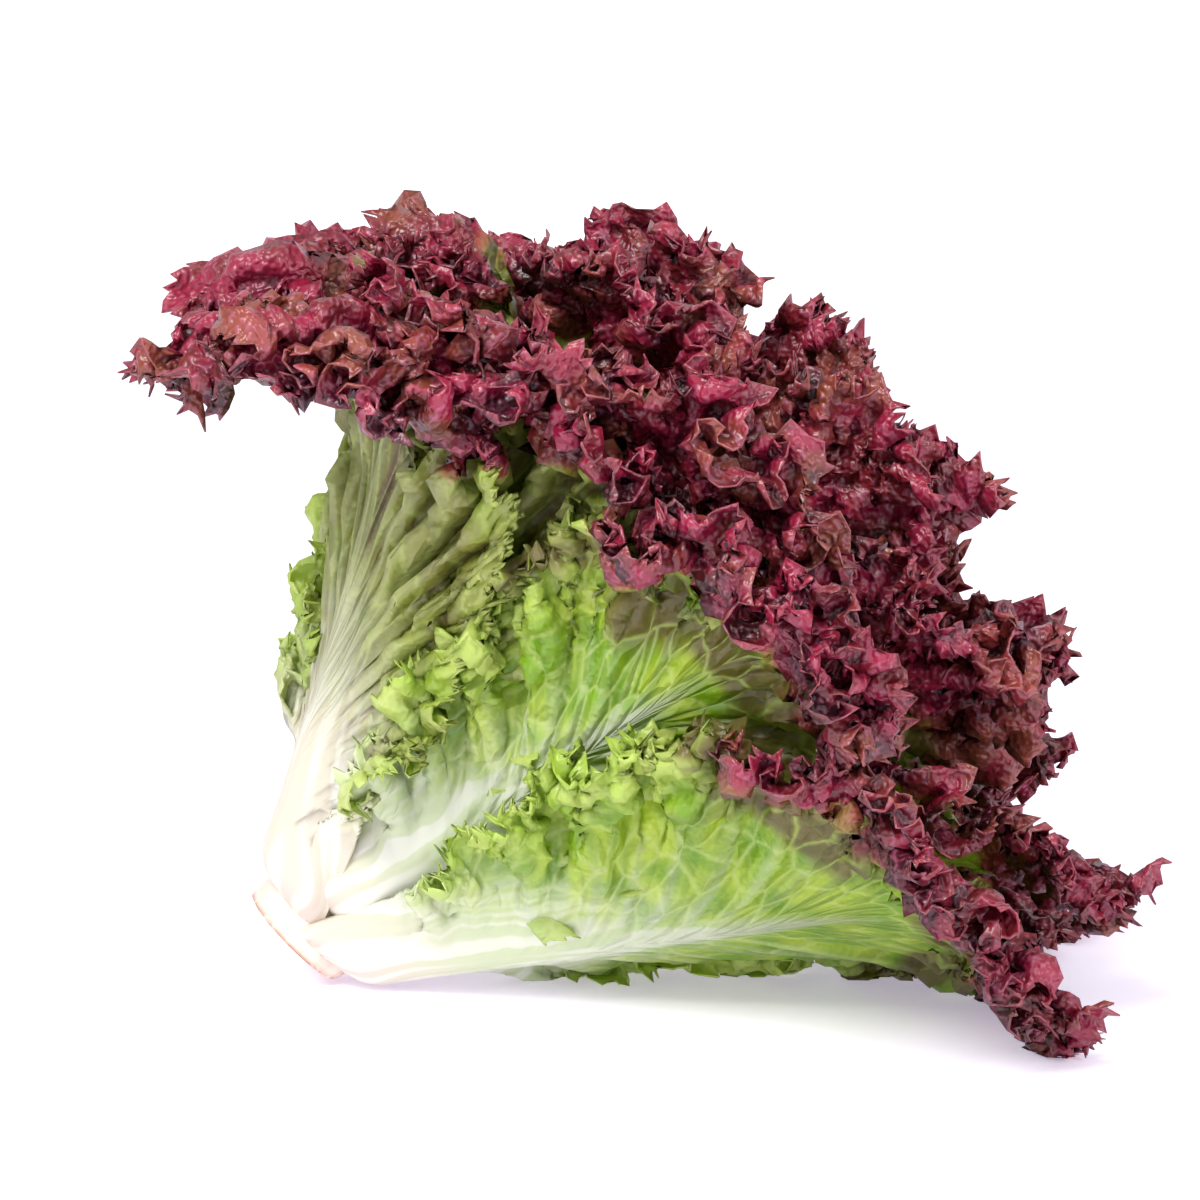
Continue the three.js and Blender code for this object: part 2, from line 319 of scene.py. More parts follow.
class LeafSurface:
    """The leaf's middle surface on a grid: columns run round the margin, rows from the rib to it.

    A column leaves the rib closer to the foot than it reaches the margin, as a side vein does. For each
    place the surface keeps:

    share, along, across: its share of the leaf's length, and its distances along the leaf and across it
    round: the distance round the margin from the far end, negative on one side
    inland, reach: the distances from the margin, down the column, and from the middle of the cut
    gap, apart: the column's width as a share of that at the margin, and 0 where columns run together
    frilled: 0 on the lower margins and 1 on the far one
    free: how freely the place moves, from 0 at the rib and the foot
    calm: 1 where an upper leaf's blade stays flat and green up to its margin
    frill: the least strength of the smaller waves, which reach inland as far as the leaf is red
    """

    def __init__(self, plan):
        self.plan = plan
        self.seed = 100 * (plan.index + 1)
        self.columns = column_count(plan.rank)
        self.places, self.strides = row_places(plan.rank)
        share, half, from_end = margin_outline(plan, self.columns)
        self.margin_share = share[:, None]
        self.round = from_end[:, None]
        place = self.places[None, :]
        origin = lerp(0.6, 0.28, plan.sun) * self.margin_share**1.1
        self.share = lerp(origin, self.margin_share, place**0.85) * REACH_SHARE
        self.along = self.share * plan.length
        self.across = half[:, None] * place**1.2
        self.points = layer_point(plan, self.along, self.across)
        steps = np.linalg.norm(np.diff(self.points, axis=1), axis=2)
        travelled = np.concatenate([np.zeros((len(share), 1)), np.cumsum(steps, axis=1)], axis=1)
        self.inland = travelled[:, -1:] - travelled
        self.reach = np.linalg.norm(self.points - CUT_CENTRE, axis=2)
        gap = np.linalg.norm(np.gradient(self.points, axis=0), axis=2)
        self.gap = gap / np.abs(np.gradient(self.round, axis=0))
        self.apart = smooth(self.gap, 0.25, 0.75)
        self.frilled = smooth(self.margin_share, 0.3, 0.62)
        later = np.where(half > 0, 0.13, 0)[:, None]
        calm = smooth(self.margin_share, 0.42, 0.5) * (1 - smooth(self.margin_share - later, 0.58, 0.7))
        self.calm = plan.sun * calm * smooth(1 - plan.rank, 0.5, 0.7)
        self.free = smooth(place, 0.1, 0.55) * smooth(self.margin_share, 0.14, 0.3)
        self.free = self.free * (1 - 0.75 * self.calm) * self.apart
        self.frill = 0.8 * smooth(self.reach + plan.ahead, RED_FROM, RED_FULL + 6 * MM)
        self.sink_foot()

    def sink_foot(self):
        """Draws the foot's last stretch into the stem, so that the leaf grows out of it."""
        from_cut = self.points - CUT_CENTRE
        radial = unit(from_cut - (from_cut @ AXIS)[..., None] * AXIS)
        edge = smooth(self.places, 0.5, 1) * (1 - smooth(self.along, FOOT_SINK, 4 * FOOT_SINK))
        sunk = np.maximum(1 - smooth(self.along, 0, FOOT_SINK), edge)
        self.points = self.points - radial * ((FOOT_CLEARANCE + FOOT_ROOT) * sunk)[..., None]

    def recess(self):
        """How far each place lies inside the frill: its distance behind the smoothed surface."""
        # The materials darken the frill by this value, as painted shade in its recesses.
        smoothed = self.points.copy()
        columns = np.arange(len(smoothed))
        for step in (1, 2, 4, 8, 8):
            before = smoothed[np.maximum(columns - step, 0)]
            after = smoothed[np.minimum(columns + step, columns[-1])]
            smoothed = (before + after + 2 * smoothed) / 4
            smoothed[:, 1:-1] = (smoothed[:, :-2] + smoothed[:, 2:] + 2 * smoothed[:, 1:-1]) / 4
        from_axis = self.points - CUT_CENTRE
        radial = unit(from_axis - 0.6 * (from_axis @ AXIS)[..., None] * AXIS)
        behind = ((smoothed - self.points) * radial).sum(-1)
        return smooth(behind, -1.2 * MM, 1.6 * MM)

    def frame(self):
        """Unit vectors round the margin, out towards it, and away from the head's axis."""
        around = np.gradient(self.points, axis=0)
        out = np.gradient(self.points, self.places, axis=1)
        normal = unit(np.cross(around, out))
        shared = unit(normal[:, 1] + normal[::-1, 1])
        normal[:, 0] = shared
        return unit(around), unit(out), normal

    def pleat(self, height):
        """Folds that follow the side veins, deepest halfway between the rib and the margin.

        A ridge is 1.4 - 2.3 sqrt(sin(turns) ** 2 + 0.07): round hills with narrow valleys between them.
        """
        _, _, normal = self.frame()
        bend = 1.9 * noise(self.round / (26 * MM), self.places * 2.4, self.seed)
        ridges = lambda turns: 1.4 - 2.3 * np.sqrt(np.sin(turns) ** 2 + 0.07)
        fold = ridges(math.pi * self.round / FOLD_SPACING + bend)
        branch = ridges(math.pi * self.round / BRANCH_SPACING - 1.6 * bend)
        fold = fold + 0.35 * branch * smooth(self.places, 0.3, 0.6)
        depth = smooth(self.places, 0.05, 0.5) * smooth(self.share, 0.2, 0.55)
        depth = depth * smooth(self.inland, 4 * MM, 24 * MM) * self.apart
        pucker = noise(self.across / (8 * MM), self.along / (11 * MM), self.seed + 1)
        # groove is high in the folds' valleys, where the materials paint shade.
        self.groove = smooth(self.places, 0.02, 0.3) * np.clip(0.5 - 0.5 * fold, 0, 1)
        self.points = self.points + normal * (height * depth * (fold + 0.6 * pucker))[..., None]

    def roll_out(self, height):
        """Turns the margin outwards, away from the head's axis, more in some stretches than others.

        The rise falls off inland as exp(-(distance / 11 mm) ** 1.3).
        """
        _, out, normal = self.frame()
        vary = 0.65 + 0.6 * noise(self.round / (24 * MM), 0, self.seed + 2)
        rise = height * vary * np.exp(-((self.inland / (11 * MM)) ** 1.3)) * self.free
        rise = rise * lerp(lerp(2.2, 1.2, self.plan.rank**0.5), 1, self.frilled)
        self.points = self.points + normal * rise[..., None] - out * (0.45 * rise)[..., None]

    def ruffle(self, wavelength, height, depth, sway, order, everywhere=0.0):
        """One size of wave in the frill.

        A wave of the given length round the margin moves the surface along its own normal. Its height
        falls off inland as exp(-(distance / depth) ** 1.3). A sideways sway of twice its frequency leans
        the crests over, and noise varies both the length and the height of the waves.
        """
        around, out, normal = self.frame()
        seed = self.seed + 10 * order
        drift = noise(self.round / (1.7 * wavelength), self.inland / (1.3 * wavelength), seed)
        phase = 2 * math.pi * (self.round / wavelength + 0.6 * drift)
        swell = 1 + 0.6 * noise(self.round / (1.4 * wavelength), self.inland / depth, seed + 1)
        fall = np.exp(-((self.inland / depth) ** 1.3))
        if order > 1:
            fall = np.maximum(fall, self.frill)
        strength = height * swell * fall * self.free * lerp(everywhere, 1, self.frilled)
        push = noise(self.round / wavelength, self.inland / depth, seed + 2)
        shift = (
            normal * (strength * np.sin(phase))[..., None]
            - around * (sway * strength * np.sin(2 * phase))[..., None]
            + out * (0.45 * strength * push)[..., None]
        )
        self.points = self.points + shift

    def crumple(self, size, height, depth, order):
        """Random dents and lobes, with sharp crests: noise n moves the surface by 1 - 2 |n|."""
        around, out, normal = self.frame()
        fall = np.maximum(np.exp(-((self.inland / depth) ** 2.5)), self.frill)
        fall = fall * self.free * lerp(0.25, 1, self.frilled)
        seed = self.seed + 60 + 5 * order
        dents = [noise(self.round / size, self.inland / size, seed + k) for k in range(3)]
        crest = 1 - 2.6 * np.abs(dents[0])
        shift = normal * crest[..., None] + (around * dents[1][..., None] + out * dents[2][..., None]) * 0.8
        self.points = self.points + shift * (height * fall)[..., None]

    def teeth(self, length):
        """Pointed teeth on small lobes.

        Noise n pulls the margin out by 1 - 2.6 |n| to make lobes with round notches between them. Then
        every third column is pulled further by a random length and lean, and its neighbours a little in.
        """
        around, out, normal = self.frame()
        columns = len(self.points)
        random = np.random.default_rng(self.seed + 7)
        tooth = random.uniform(-0.35, 0.1, columns)
        tooth[::3] = random.uniform(0.3, 1, len(tooth[::3]))
        lean = random.uniform(-0.6, 0.6, (2, columns))
        start = smooth(self.margin_share, 0.14, 0.3)
        near = np.exp(-((self.inland / (1.2 * MM)) ** 2)) * start
        lobe = 1 - 2.6 * np.abs(noise(self.round / (1.9 * MM), 0, self.seed + 8))
        wide = np.exp(-((self.inland / (2.6 * MM)) ** 2)) * start
        way = out + around * lean[0][:, None, None] + normal * lean[1][:, None, None]
        self.points = self.points + way * (length * tooth[:, None] * near)[..., None]
        self.points = self.points + out * (0.5 * length * lobe * wide)[..., None]


def rest_on_floor(points):
    """Presses what would sink into the floor into a layer above it: height z becomes c exp(z / c - 1)."""
    low = points[..., 2] < FLOOR_CUSHION
    depth = np.minimum(points[..., 2], FLOOR_CUSHION) - FLOOR_CUSHION
    squeezed = FLOOR_CUSHION * np.exp(depth / FLOOR_CUSHION)
    points[..., 2] = np.where(low, squeezed, points[..., 2])
    return points


def rib_height(surface):
    """How far the rib and the side veins stand out of the outer face: each is a bell curve across."""
    plan = surface.plan
    narrowed = smooth(surface.share, 0, lerp(0.7, 0.4, plan.sun)) ** 0.7
    width = lerp(RIB_AT_FOOT, RIB_AT_END, narrowed)
    thick = RIB_THICKNESS * (1 - plan.rank) ** 0.5 * (1 - surface.share) ** 1.6
    main = thick * smooth(surface.along, 0, 12 * MM)
    rib = main * np.exp(-((surface.across / width) ** 2))
    wander = 0.25 * noise(surface.round / (40 * MM), 0, surface.seed + 3)
    offset = (surface.round / VEIN_SPACING + wander) % 1 - 0.5
    vein_width = lerp(2.6 * MM, 1.5 * MM, surface.places)
    vein = np.exp(-((offset * VEIN_SPACING * surface.gap / vein_width) ** 2))
    fade = surface.apart * smooth(surface.places, 0, 0.12) * (1 - smooth(surface.places, 0.4, 0.9))
    height = lerp(0.8 * MM, 1.5 * MM, plan.sun)
    return rib + height * vein * fade * smooth(surface.share, 0.08, 0.3)


def tints(surface, raised):
    """How far each place of the leaf takes each colour, from 0 to 1.

    red grows with the distance from the cut and is strongest at the margin. blotch is the purple stain
    just inside it. white is the fleshy base, rib the ribs and veins, and yellow the ruffles of the lower
    margins. blush turns the base pink and the upper ribs olive. groove is high in the folds' valleys and
    depth inside the frill; the materials darken both places as painted shade. sun tells the upper leaves
    from the others.
    """
    plan = surface.plan
    wander = noise(surface.across / (16 * MM), surface.along / (16 * MM), surface.seed + 4)
    grain = noise(surface.across / (4 * MM), surface.along / (4 * MM), surface.seed + 5)
    travelled = 0.55 * (surface.along + plan.foot) + 0.45 * surface.reach
    drive = travelled - 0.28 * surface.inland + (6 * wander + 2.5 * grain - 24 * surface.calm) * MM
    drive = drive + plan.ahead
    red = smooth(drive, RED_FROM, RED_FULL)
    stained_from = lerp(BLOTCH_FROM, UPPER_BLOTCH_FROM, plan.sun)
    blotch = smooth(drive, stained_from, RED_FROM) * (1 - red) * (0.75 + 0.4 * wander)
    spread = surface.reach * lerp(1, 1.1, plan.sun) + 1.1 * np.abs(surface.across) + 8 * MM * wander
    white = 1 - smooth(spread, WHITE_FULL, WHITE_TO)
    rib = smooth(raised, 0.3 * MM, 1.3 * MM) * (1 - smooth(surface.reach, 0.13, 0.17))
    yellow = (1 - smooth(surface.inland, 3 * MM, 22 * MM)) * smooth(surface.reach, 0.03, 0.07)
    blush = np.maximum(0.7 * plan.sun, 1 - smooth(surface.reach, 0.012, 0.06))
    return {
        "red": red, "blotch": blotch, "white": white, "rib": rib, "yellow": yellow, "blush": blush,
        "groove": surface.groove, "sun": np.full_like(red, plan.sun), "depth": surface.recess(),
        "inland": surface.inland,
    }


def leaf_faces(columns, strides):
    """Triangles of one sheet, as indices into its grid.

    Rows with the same spacing are joined by pairs of triangles, split along the shorter diagonal, which
    is the other one on the other side of the rib. Where the spacing halves, each cell becomes three.
    """
    rows = len(strides)
    at = lambda column, row: column * rows + row
    faces = []
    for row in range(rows - 1):
        step, finer = strides[row], strides[row + 1]
        left = np.arange(0, columns, step)
        right = left + step
        a, b = at(left, row), at(right, row)
        c, d = at(right, row + 1), at(left, row + 1)
        if step == finer:
            rising = (left < columns // 2)[:, None]
            faces.append(np.where(rising, np.stack([a, b, d], 1), np.stack([a, b, c], 1)))
            faces.append(np.where(rising, np.stack([b, c, d], 1), np.stack([a, c, d], 1)))
        else:
            m = at(left + finer, row + 1)
            faces.append(np.stack([a, m, d], 1))
            faces.append(np.stack([a, b, m], 1))
            faces.append(np.stack([b, c, m], 1))
    return np.concatenate(faces)


def rim_edges(columns, strides):
    """The sheet's border as pairs of grid indices: down the first column, round the margin, and back."""
    rows = len(strides)
    first = np.arange(rows)
    last = columns * rows + np.arange(rows)
    margin = np.arange(columns + 1) * rows + rows - 1
    loop = np.concatenate([first, margin[1:], last[:-1][::-1]])
    return np.stack([loop[:-1], loop[1:]], 1)


def shell_faces(columns, strides):
    """Triangles of the closed shell, and the place of each of their corners on a flat map.

    The outer sheet's points come first, then the inner sheet's. A sheet's two sides share their first
    row along the rib, so the right side's indices there are turned into the left side's. On the map,
    the outer sheet fills the left half, the inner one the right half, and the rim a strip above both.
    """
    rows = len(strides)
    count = (columns + 1) * rows
    sheet = leaf_faces(columns, strides)
    rim = rim_edges(columns, strides)
    start, end = rim[:, 0], rim[:, 1]
    walls = np.concatenate([
        np.stack([start, end, end + count], 1),
        np.stack([start, end + count, start + count], 1),
    ])
    share = np.arange(len(rim)) / len(rim)
    step = 1 / len(rim)
    low, high = np.full(len(rim), 0.975), np.full(len(rim), 0.995)
    wall_map = np.concatenate([
        np.stack([share, low, share + step, low, share + step, high], 1),
        np.stack([share, low, share + step, high, share, high], 1),
    ]).reshape(-1, 3, 2)
    column, row = np.divmod(sheet, rows)
    sheet_map = np.stack([0.01 + 0.47 * column / columns, 0.01 + 0.94 * row / (rows - 1)], 2)
    faces = np.concatenate([sheet, sheet[:, ::-1] + count, walls])
    flat_map = np.concatenate([sheet_map, sheet_map[:, ::-1] + [0.51, 0], wall_map])
    right = np.arange(columns // 2 + 1, columns + 1)
    shared = np.arange(2 * count)
    shared[right * rows] = (columns - right) * rows
    shared[right * rows + count] = (columns - right) * rows + count
    return shared[faces], flat_map


def new_mesh_object(name, points, faces, flat_map=None):
    """A mesh object at the origin, smooth shaded, from arrays of points and triangles or quads."""
    mesh = bpy.data.meshes.new(name)
    mesh.vertices.add(len(points))
    mesh.vertices.foreach_set("co", points.astype(np.float32).ravel())
    mesh.loops.add(faces.size)
    mesh.loops.foreach_set("vertex_index", faces.astype(np.int32).ravel())
    mesh.polygons.add(len(faces))
    mesh.polygons.foreach_set("loop_start", np.arange(0, faces.size, faces.shape[1], dtype=np.int32))
    mesh.polygons.foreach_set("use_smooth", np.ones(len(faces), bool))
    if flat_map is not None:
        layer = mesh.uv_layers.new(name="OFBake")
        layer.uv.foreach_set("vector", flat_map.astype(np.float32).ravel())
    mesh.update(calc_edges=True)
    mesh.validate()
    piece = bpy.data.objects.new(name, mesh)
    bpy.context.scene.collection.objects.link(piece)
    return piece


def store(mesh, name, values):
    """Keeps one number per vertex on the mesh, for the materials to read."""
    layer = mesh.attributes.new(name, "FLOAT", "POINT")
    layer.data.foreach_set("value", values.astype(np.float32).ravel())


def store_map(mesh, name, places):
    """Keeps a flat map, given one place per vertex, as a UV map."""
    corners = np.empty(len(mesh.loops), np.int32)
    mesh.loops.foreach_get("vertex_index", corners)
    layer = mesh.uv_layers.new(name=name)
    layer.uv.foreach_set("vector", places[corners].astype(np.float32).ravel())


def build_leaf(name, plan, settings):
    """One leaf: waves of several sizes on its layer, then a thin closed shell with its ribs outside."""
    surface = LeafSurface(plan)
    size = lerp(1, 0.8, plan.rank)
    inland = lerp(1, 1.5, plan.sun)
    surface.pleat(lerp(1.2, 4.8, plan.sun) * MM * size)
    surface.roll_out(settings.roll_height * size)
    surface.ruffle(27 * MM, settings.fold_height * size, 24 * MM, 0.55, 1, 0.75)
    surface.ruffle(11 * MM, settings.lobe_height * size, 17 * MM * inland, 0.5, 2, 0.7)
    surface.crumple(5 * MM, settings.lobe_height * size, 26 * MM * inland, 2)
    surface.ruffle(4.8 * MM, settings.ruffle_height * size, 15 * MM * inland, 0.4, 3, 0.35)
    surface.crumple(2.2 * MM, settings.crimp_height * size, 24 * MM * inland, 1)
    surface.teeth(settings.tooth_length)
    _, _, normal = surface.frame()
    raised = rib_height(surface)
    half = lerp(settings.blade_thickness, settings.frill_thickness, surface.free) / 2
    outer = rest_on_floor(surface.points + normal * (half + raised)[..., None])
    inner = rest_on_floor(surface.points - normal * np.broadcast_to(half, raised.shape)[..., None])
    outer[:, 0] = (outer[:, 0] + outer[::-1, 0]) / 2
    inner[:, 0] = (inner[:, 0] + inner[::-1, 0]) / 2

    faces, flat_map = shell_faces(surface.columns, surface.strides)
    count = raised.size
    used, faces = np.unique(faces, return_inverse=True)
    faces = faces.reshape(-1, 3)
    both = lambda grid: np.concatenate([grid.reshape(count, -1), grid.reshape(count, -1)])[used]
    points = np.concatenate([outer.reshape(-1, 3), inner.reshape(-1, 3)])[used]
    piece = new_mesh_object(name, points, faces, flat_map)
    for tint, values in tints(surface, raised).items():
        store(piece.data, tint, both(values))
    fan, flat = pattern_maps(surface)
    store_map(piece.data, "fan", both(fan))
    store_map(piece.data, "flat", both(flat))
    return piece


def pattern_maps(surface):
    """Two maps for the patterns, in decimetres, shifted by a step from leaf to leaf.

    fan runs round the margin and from the rib to it, as the side veins do. flat runs across the leaf and
    along it, bent a little by noise.
    """
    shape = surface.share.shape
    round_margin = np.broadcast_to(np.abs(surface.round), shape)
    fan = np.stack([round_margin * 10, np.broadcast_to(surface.places[None, :], shape)], 2)
    warp = [noise(surface.across / (12 * MM), surface.along / (12 * MM), surface.seed + k) for k in (8, 9)]
    flat = np.stack([surface.across + 2.5 * MM * warp[0], surface.along + 2.5 * MM * warp[1]], 2) * 10
    offset = 0.37 * surface.plan.index
    return fan + offset, flat + offset


# ---------------------------------------------------------------- shader maths


class Number:
    """A socket that carries one number, with the operators that add Math nodes."""

    def __init__(self, shader, socket):
        self.shader = shader
        self.socket = socket

    def _math(self, operation, first, second):
        return self.shader.number("ShaderNodeMath", {"operation": operation}, {0: first, 1: second})

    def __add__(self, other):
        return self._math("ADD", self, other)

    def __radd__(self, other):
        return self._math("ADD", other, self)

    def __sub__(self, other):
        return self._math("SUBTRACT", self, other)

    def __rsub__(self, other):
        return self._math("SUBTRACT", other, self)

    def __mul__(self, other):
        return self._math("MULTIPLY", self, other)

    def __rmul__(self, other):
        return self._math("MULTIPLY", other, self)

    def step(self, low, high):
        """0 below low and 1 above high, with an S curve between. low may be the larger."""
        settings = {"interpolation_type": "SMOOTHSTEP"}
        if low < high:
            sockets = {"Value": self, "From Min": low, "From Max": high}
        else:
            sockets = {"Value": self, "From Min": high, "From Max": low, "To Min": 1, "To Max": 0}
        return self.shader.number("ShaderNodeMapRange", settings, sockets)


class Shader:
    """One material's node tree."""

    def __init__(self, name):
        self.material = bpy.data.materials.new(name)
        self.material.use_nodes = True
        self.nodes = self.material.node_tree.nodes
        self.links = self.material.node_tree.links
        self.nodes.clear()

    def node(self, kind, settings=None, sockets=None):
        """Adds a node: its settings first, then the value of or the link to each socket."""
        made = self.nodes.new(kind)
        for key, value in (settings or {}).items():
            setattr(made, key, value)
        for key, value in (sockets or {}).items():
            target = made.inputs[key]
            if isinstance(value, Number):
                value = value.socket
            if isinstance(value, bpy.types.NodeSocket):
                self.links.new(value, target)
            else:
                target.default_value = value
        return made

    def number(self, kind, settings=None, sockets=None, out=0):
        return Number(self, self.node(kind, settings, sockets).outputs[out])

    def attribute(self, name):
        return self.number("ShaderNodeAttribute", {"attribute_name": name}, out="Fac")

    def place(self, name):
        return self.node("ShaderNodeUVMap", {"uv_map": name}).outputs["UV"]

    def scaled(self, place, factors):
        """A place stretched by a factor along each direction."""
        settings = {"operation": "MULTIPLY"}
        return self.node("ShaderNodeVectorMath", settings, {0: place, 1: factors}).outputs[0]

    def noise(self, place, scale, detail=2.0, roughness=0.5, flat=False):
        settings = {"noise_dimensions": "2D" if flat else "3D"}
        sockets = {"Vector": place, "Scale": scale, "Detail": detail, "Roughness": roughness}
        return self.number("ShaderNodeTexNoise", settings, sockets)

    def cells(self, place, scale):
        """Distance to the nearest edge between random cells."""
        settings = {"feature": "DISTANCE_TO_EDGE", "voronoi_dimensions": "2D"}
        return self.number("ShaderNodeTexVoronoi", settings, {"Vector": place, "Scale": scale})

    def mix(self, share, start, end):
        """Goes from the start colour to the end colour as share goes from 0 to 1."""
        made = self.node("ShaderNodeMix", {"data_type": "RGBA"}, {0: share, 6: start, 7: end})
        return made.outputs[2]

    def output(self, surface):
        self.node("ShaderNodeOutputMaterial", {}, {"Surface": surface})


def tone(red, green, blue):
    """A display colour from 0 to 255 as the linear colour that shaders take."""
    shares = [value / 255 for value in (red, green, blue)]
    linear = [((v + 0.055) / 1.055) ** 2.4 if v > 10 / 255 else v / 12.92 for v in shares]
    return (*linear, 1.0)


def leaf_material(name):
    """A frilled leaf: white ribs, a veined green blade, and a red frill towards the far margin."""
    settings = bpy.context.scene.lettuce_leaf
    s = Shader(name)
    red, blotch, white, rib = (s.attribute(tint) for tint in ("red", "blotch", "white", "rib"))
    yellow, sun, inland, depth = (s.attribute(tint) for tint in ("yellow", "sun", "inland", "depth"))
    blush, groove = s.attribute("blush"), s.attribute("groove")
    fan, flat = s.place("fan"), s.place("flat")
    place = s.node("ShaderNodeTexCoord").outputs["Object"]

    fine = s.noise(place, 700, 0)
    patches = s.noise(place, 90, 0)
    border = red.step(1.0, 0.55)
    smooth_red = red
    red = (red + patches * 0.7 - 0.35).step(0.3, 0.7)
    broad = s.noise(place, 45, 1)
    streaks = s.noise(s.scaled(fan, (26, 1.2, 1)), 1, 1, flat=True)
    lines = s.noise(s.scaled(flat, (34, 1.6, 1)), 1, 0, flat=True)
    blisters = s.cells(s.scaled(fan, (9, 5.5, 1)), 1)
    veins = blisters.step(0.09, 0.0)

    bright = s.mix(patches.step(0.3, 0.7), (*settings.blade_colour, 1), tone(200, 224, 68))
    olive = s.mix(patches.step(0.3, 0.7), tone(122, 138, 34), tone(176, 184, 74))
    # Painted shade: groove darkens the folds' valleys to this olive-brown; pale crests are vein colour.
    shade = s.mix(patches.step(0.35, 0.65), tone(100, 92, 42), tone(118, 80, 64))
    folded = s.mix(groove.step(0.5, 0.95), olive, shade)
    folded = s.mix(groove.step(0.4, 0.05) * 0.85, folded, tone(204, 212, 136))
    blade = s.mix(sun * (1 - yellow * 0.5), bright, folded)
    blade = s.mix(streaks.step(0.35, 0.7) * 0.5, blade, s.mix(sun, tone(88, 140, 36), tone(128, 116, 76)))
    blade = s.mix(veins * 0.5, blade, tone(208, 222, 132))
    blade = s.mix(fine.step(0.5, 0.7) * 0.3, blade, tone(182, 206, 96))
    blade = s.mix(yellow * 0.85, blade, s.mix(patches, tone(172, 206, 54), tone(228, 238, 146)))
    flesh = s.mix(lines.step(0.42, 0.62), (*settings.flesh_colour, 1), tone(208, 220, 180))
    pink = s.mix(lines.step(0.4, 0.6), tone(234, 229, 216), tone(222, 206, 194))
    olive_rib = s.mix(streaks, tone(210, 216, 146), tone(176, 184, 108))
    blade = s.mix(rib * 0.85, blade, s.mix(sun, flesh, olive_rib))
    blade = s.mix(white, blade, s.mix(blush, flesh, pink))
    stain = (blotch + broad - 0.5).step(0.25, 0.6) * (1 - veins * 0.6) * (1 - rib * 0.6)
    blade = s.mix(stain * (0.85 - sun * 0.5), blade, tone(106, 70, 56))

    crimson = s.mix(patches.step(0.35, 0.65), (*settings.frill_colour, 1), tone(116, 26, 36))
    # Painted shade: depth darkens the frill's recesses to this deep red, and keeps brown and salmon out.
    dark = s.mix(patches.step(0.4, 0.6), (*settings.shade_colour, 1), tone(50, 8, 10))
    frill = s.mix(depth, crimson, dark)
    frill = s.mix(broad.step(0.52, 0.66) * (1 - depth) * 0.5, frill, tone(150, 88, 58))
    frill = s.mix(inland.step(0.0012, 0.0) * 0.25, frill, tone(180, 96, 100))
    # Painted highlight: fine pink-lilac glints speckled over the frill.
    frill = s.mix(fine.step(0.55, 0.75) * 0.45, frill, tone(178, 96, 124))
    salmon = s.mix(patches.step(0.4, 0.6), tone(166, 100, 62), tone(128, 56, 44))
    frill = s.mix(border * (1 - depth * 0.5), frill, salmon)
    colour = s.mix(red, blade, frill)

    thin_skin = (fine * 0.7 + blisters.step(0.0, 0.4) * 2.2 * (1 - smooth_red)) * (1 - white)
    relief = thin_skin * (1 + smooth_red) + lines * 0.7 * white
    bump = s.node("ShaderNodeBump", {}, {"Strength": 0.6, "Distance": 0.0012, "Height": relief})
    shell = s.node("ShaderNodeBsdfPrincipled", {}, {
        "Base Color": colour, "Roughness": 0.28 + fine * 0.2, "Normal": bump.outputs[0],
        "Specular IOR Level": 0.7,
    })
    glow_green = s.node("ShaderNodeBsdfTranslucent", {}, {"Color": tone(214, 236, 88)})
    glow_red = s.node("ShaderNodeBsdfTranslucent", {}, {"Color": tone(190, 40, 60)})
    glow = s.node("ShaderNodeMixShader", {}, {0: red, 1: glow_green.outputs[0], 2: glow_red.outputs[0]})
    thin = s.node("ShaderNodeMixShader", {}, {
        0: 0.38 - white * 0.26 - red * 0.24, 1: shell.outputs[0], 2: glow.outputs[0],
    })
    s.output(thin.outputs[0])
    return s.material


def stem_material():
    """Cream flesh with a pink tint, a fine grain and a brown rim at the cut."""
    s = Shader("stem_flesh")
    place = s.node("ShaderNodeTexCoord").outputs["Object"]
    broad = s.noise(place, 90, 3)
    fine = s.noise(place, 600, 3)
    flesh = s.mix(broad.step(0.35, 0.65), tone(236, 226, 206), tone(228, 200, 188))
    rim = s.attribute("rim")
    colour = s.mix(rim * fine.step(0.2, 0.6), flesh, tone(176, 128, 96))
    bump = s.node("ShaderNodeBump", {}, {"Strength": 0.4, "Distance": 0.0008, "Height": broad + fine * 0.4})
    shell = s.node("ShaderNodeBsdfPrincipled", {}, {
        "Base Color": colour, "Roughness": 0.42 + fine * 0.15, "Normal": bump.outputs[0],
        "Subsurface Weight": 0.1, "Subsurface Scale": 0.003,
    })
    s.output(shell.outputs[0])
    return s.material


# ---------------------------------------------------------------- pieces


